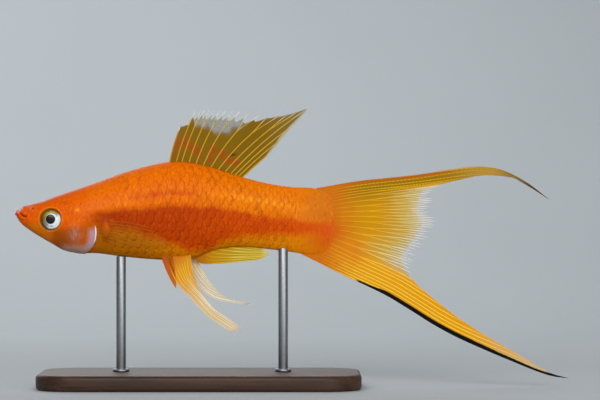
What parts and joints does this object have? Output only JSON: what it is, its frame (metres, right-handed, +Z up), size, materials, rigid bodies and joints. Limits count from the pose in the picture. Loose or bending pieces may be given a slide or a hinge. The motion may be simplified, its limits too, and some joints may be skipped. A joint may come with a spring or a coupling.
{
  "type": "swordtail fish model",
  "caption": "Still life-size model of a male orange swordtail with a tall dorsal fin, a long lower tail sword, trailing pelvic fins and a gonopodium, held by rods on a flat display stand",
  "frame": {"origin": "middle of the underside of the stand base, on the floor", "axes": "+Z up; the fish looks along -X, its tail fin runs along +X, and its left flank faces -Y"},
  "size_m": [0.1275, 0.036, 0.0644],
  "materials": {
    "flesh": "satin orange skin",
    "cheek": "satin orange skin, silvery on the gill cover",
    "eye": "glossy, silver iris round a black pupil",
    "amber_fin": "thin amber membrane with pale rays",
    "gold_fin": "golden membrane with a black lower margin",
    "clear_fin": "nearly clear membrane with fine rays",
    "stand_wood": "dark satin wood",
    "stand_rod": "brushed steel"
  },
  "bodies": {
    "root": {"head": "cheek", "trunk": "flesh", "tail_stalk": "flesh", "eye_left": "eye", "eye_right": "eye", "pectoral_fin_left": "clear_fin", "pectoral_fin_right": "clear_fin", "pelvic_fin_left": "amber_fin", "pelvic_fin_right": "amber_fin", "dorsal_fin": "amber_fin", "tail_fin_streamer": "amber_fin", "tail_fin_fan": "amber_fin", "tail_fin_sword": "gold_fin", "gonopodium": "amber_fin", "stand_base": "stand_wood", "stand_rod_front": "stand_rod", "stand_rod_rear": "stand_rod"}
  },
  "joints": []
}
